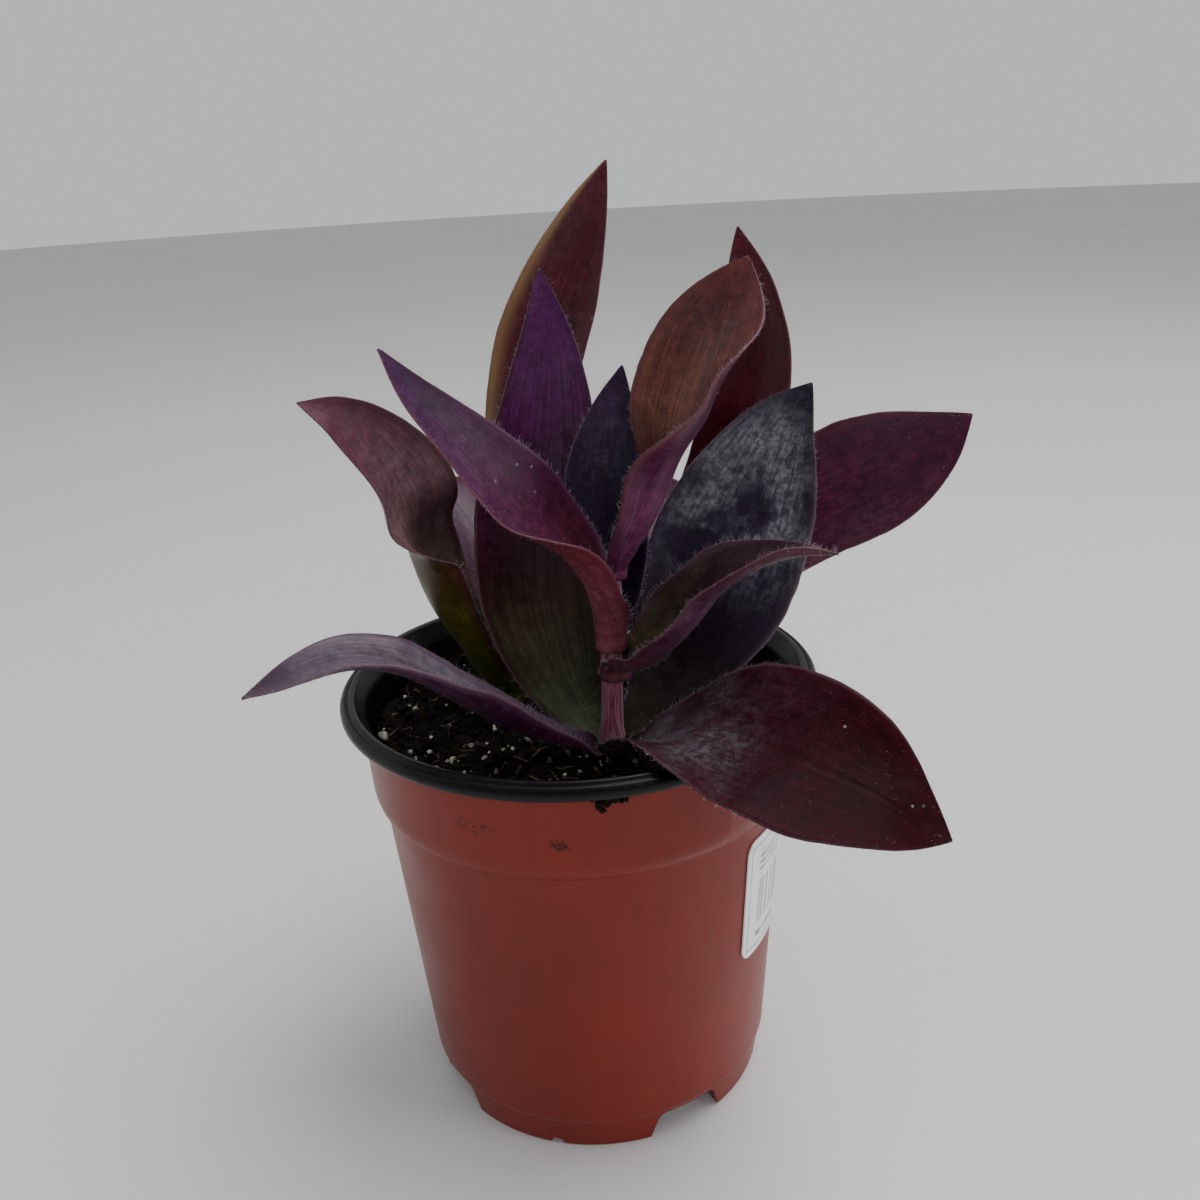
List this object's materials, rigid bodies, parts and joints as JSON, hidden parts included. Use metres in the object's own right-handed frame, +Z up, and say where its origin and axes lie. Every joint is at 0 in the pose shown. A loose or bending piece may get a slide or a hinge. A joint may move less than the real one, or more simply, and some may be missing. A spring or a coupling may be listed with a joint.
{
  "type": "potted tradescantia",
  "caption": "Potted trailing plant with clasping, boat-shaped purple leaves on upright stems, in a round plastic nursery pot with a rolled rim, filled with potting mix.",
  "frame": {"origin": "centre of the pot's foot, on the pot's axis, at the surface it stands on", "axes": "+Z up along the pot's axis, -Y towards the front, +X to the right as seen from the front"},
  "size_m": [0.1512, 0.1248, 0.2043],
  "materials": {
    "pot_plastic": "satin terracotta plastic outside, black inside and on the rolled rim",
    "soil": "damp dark potting mix with white grains; stands in for peat, whose density wood is nearest to",
    "label": "white semi-gloss paper with thin grey lines",
    "stem": "fleshy pink-purple stem with fine lengthwise lines; leather stands in for plant tissue",
    "blade_front_left": "fleshy purple leaf, softly shiny, finely haired; leather stands in for plant tissue",
    "blade_front_right": "fleshy purple leaf, softly shiny, finely haired; leather stands in for plant tissue",
    "blade_back_left_tall": "fleshy purple leaf, softly shiny, finely haired; leather stands in for plant tissue",
    "blade_right_dusty": "fleshy purple leaf, softly shiny, finely haired; leather stands in for plant tissue",
    "blade_small_right": "fleshy purple leaf, softly shiny, finely haired; leather stands in for plant tissue",
    "blade_left_long": "fleshy purple leaf, softly shiny, finely haired; leather stands in for plant tissue",
    "blade_top": "fleshy purple leaf, softly shiny, finely haired; leather stands in for plant tissue",
    "blade_top_young": "fleshy purple leaf, softly shiny, finely haired; leather stands in for plant tissue",
    "blade_left_broad": "fleshy purple leaf, softly shiny, finely haired; leather stands in for plant tissue",
    "blade_tallest": "fleshy purple leaf, softly shiny, finely haired; leather stands in for plant tissue",
    "blade_back_left": "fleshy purple leaf, softly shiny, finely haired; leather stands in for plant tissue",
    "blade_right_broad": "fleshy purple leaf, softly shiny, finely haired; leather stands in for plant tissue",
    "blade_right_upright": "fleshy purple leaf, softly shiny, finely haired; leather stands in for plant tissue",
    "blade_back_right": "fleshy purple leaf, softly shiny, finely haired; leather stands in for plant tissue"
  },
  "bodies": {
    "root": {"pot": "pot_plastic", "soil": "soil", "label": "label", "stem_front": "stem", "stem_left": "stem", "stem_right": "stem", "leaf_front_left": "blade_front_left", "leaf_front_right": "blade_front_right", "leaf_back_left_tall": "blade_back_left_tall", "leaf_right_dusty": "blade_right_dusty", "leaf_small_right": "blade_small_right", "leaf_left_long": "blade_left_long", "leaf_top": "blade_top", "leaf_top_young": "blade_top_young", "leaf_left_broad": "blade_left_broad", "leaf_tallest": "blade_tallest", "leaf_back_left": "blade_back_left", "leaf_right_broad": "blade_right_broad", "leaf_right_upright": "blade_right_upright", "leaf_back_right": "blade_back_right"}
  },
  "joints": []
}
